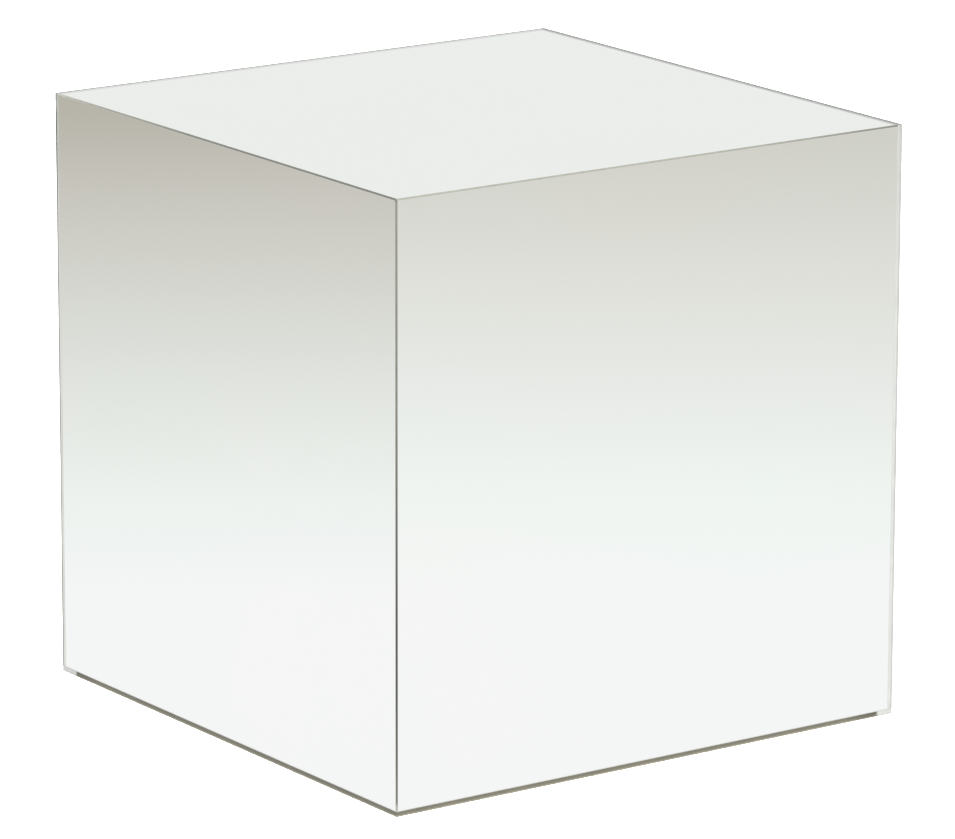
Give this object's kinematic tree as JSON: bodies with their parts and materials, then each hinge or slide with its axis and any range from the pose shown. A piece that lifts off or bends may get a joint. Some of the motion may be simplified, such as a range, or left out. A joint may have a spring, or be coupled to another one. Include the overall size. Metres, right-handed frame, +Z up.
{
  "type": "mirrored acrylic display cube",
  "caption": "Free-standing mirror-faced display cube: mitred and lapped mirrored acrylic panels on a board carcass and a clear base sheet, with hidden levelling glides.",
  "frame": {"origin": "centre of the footprint, on the floor", "axes": "+Z up, -Y towards the front panel, +X towards the right panel"},
  "size_m": [0.45, 0.45, 0.45],
  "materials": {
    "mirror": "silvered acrylic sheet, flat and bright, with clear polished edges",
    "seam_bead": "dark olive grey solvent-cemented mitre line, wiped flush",
    "clear_bond": "clear solvent cement, a hairline between two sheets",
    "clear_sheet": "clear acrylic sheet with polished edges",
    "board": "raw medium density fibreboard",
    "timber": "planed softwood",
    "rail": "fibreboard painted dark olive brown, satin",
    "rail_tape": "dark olive brown foam tape",
    "tape": "grey foam mounting tape",
    "adhesive": "cured neutral mirror adhesive",
    "nylon": "black moulded nylon",
    "zinc": "bright zinc-plated steel"
  },
  "bodies": {
    "cube": {"top_mirror_panel": "mirror", "front_mirror_panel": "mirror", "right_mirror_panel": "mirror", "rear_mirror_panel": "mirror", "left_mirror_panel": "mirror", "seam_top_front": "seam_bead", "seam_top_right": "seam_bead", "seam_front_right": "seam_bead", "seam_top_rear": "clear_bond", "seam_top_left": "clear_bond", "seam_front_left": "clear_bond", "seam_rear_right": "clear_bond", "seam_rear_left": "clear_bond", "seam_base_front": "clear_bond", "seam_base_right": "clear_bond", "seam_base_rear": "clear_bond", "seam_base_left": "clear_bond", "base_sheet": "clear_sheet", "core_top_board": "board", "core_base_board": "board", "core_front_board": "board", "core_right_board": "board", "core_rear_board": "board", "core_left_board": "board", "corner_post_front_left": "timber", "corner_post_front_right": "timber", "corner_post_rear_right": "timber", "corner_post_rear_left": "timber", "top_cleat_front": "timber", "top_cleat_right": "timber", "top_cleat_rear": "timber", "top_cleat_left": "timber", "base_cleat_front": "timber", "base_cleat_right": "timber", "base_cleat_rear": "timber", "base_cleat_left": "timber", "base_rail_front": "rail", "base_rail_right": "rail", "base_rail_rear": "rail", "base_rail_left": "rail", "rail_tapes": "rail_tape", "mounting_tapes": "tape", "adhesive_beads": "adhesive", "glide_tee_nuts": "zinc", "glide_lock_nuts": "zinc", "side_board_screws": "zinc", "top_board_screws": "zinc", "base_board_screws": "zinc", "base_rail_screws": "zinc"},
    "glide_pad_front_left": {"glide_pad_front_left": "nylon"},
    "glide_stem_front_left": {"glide_stem_front_left": "zinc"},
    "glide_pad_front_right": {"glide_pad_front_right": "nylon"},
    "glide_stem_front_right": {"glide_stem_front_right": "zinc"},
    "glide_pad_rear_right": {"glide_pad_rear_right": "nylon"},
    "glide_stem_rear_right": {"glide_stem_rear_right": "zinc"},
    "glide_pad_rear_left": {"glide_pad_rear_left": "nylon"},
    "glide_stem_rear_left": {"glide_stem_rear_left": "zinc"}
  },
  "joints": [
    {"name": "glide_travel_front_left", "type": "slide", "parent": "cube", "child": "glide_pad_front_left", "axis": [0, 0, -1], "range_m": [0, 0.008]},
    {"name": "glide_screw_front_left", "type": "hinge", "parent": "glide_pad_front_left", "child": "glide_stem_front_left", "pos_m": [-0.15, -0.15, 0.01], "axis": [0, 0, -1], "range_deg": [0, 2304]},
    {"name": "glide_travel_front_right", "type": "slide", "parent": "cube", "child": "glide_pad_front_right", "axis": [0, 0, -1], "range_m": [0, 0.008]},
    {"name": "glide_screw_front_right", "type": "hinge", "parent": "glide_pad_front_right", "child": "glide_stem_front_right", "pos_m": [0.15, -0.15, 0.01], "axis": [0, 0, -1], "range_deg": [0, 2304]},
    {"name": "glide_travel_rear_right", "type": "slide", "parent": "cube", "child": "glide_pad_rear_right", "axis": [0, 0, -1], "range_m": [0, 0.008]},
    {"name": "glide_screw_rear_right", "type": "hinge", "parent": "glide_pad_rear_right", "child": "glide_stem_rear_right", "pos_m": [0.15, 0.15, 0.01], "axis": [0, 0, -1], "range_deg": [0, 2304]},
    {"name": "glide_travel_rear_left", "type": "slide", "parent": "cube", "child": "glide_pad_rear_left", "axis": [0, 0, -1], "range_m": [0, 0.008]},
    {"name": "glide_screw_rear_left", "type": "hinge", "parent": "glide_pad_rear_left", "child": "glide_stem_rear_left", "pos_m": [-0.15, 0.15, 0.01], "axis": [0, 0, -1], "range_deg": [0, 2304]}
  ],
  "couplings": [
    {"joint": "glide_travel_front_left", "follows": "glide_screw_front_left", "m_per_rad": 0.00019894},
    {"joint": "glide_travel_front_right", "follows": "glide_screw_front_right", "m_per_rad": 0.00019894},
    {"joint": "glide_travel_rear_right", "follows": "glide_screw_rear_right", "m_per_rad": 0.00019894},
    {"joint": "glide_travel_rear_left", "follows": "glide_screw_rear_left", "m_per_rad": 0.00019894}
  ]
}
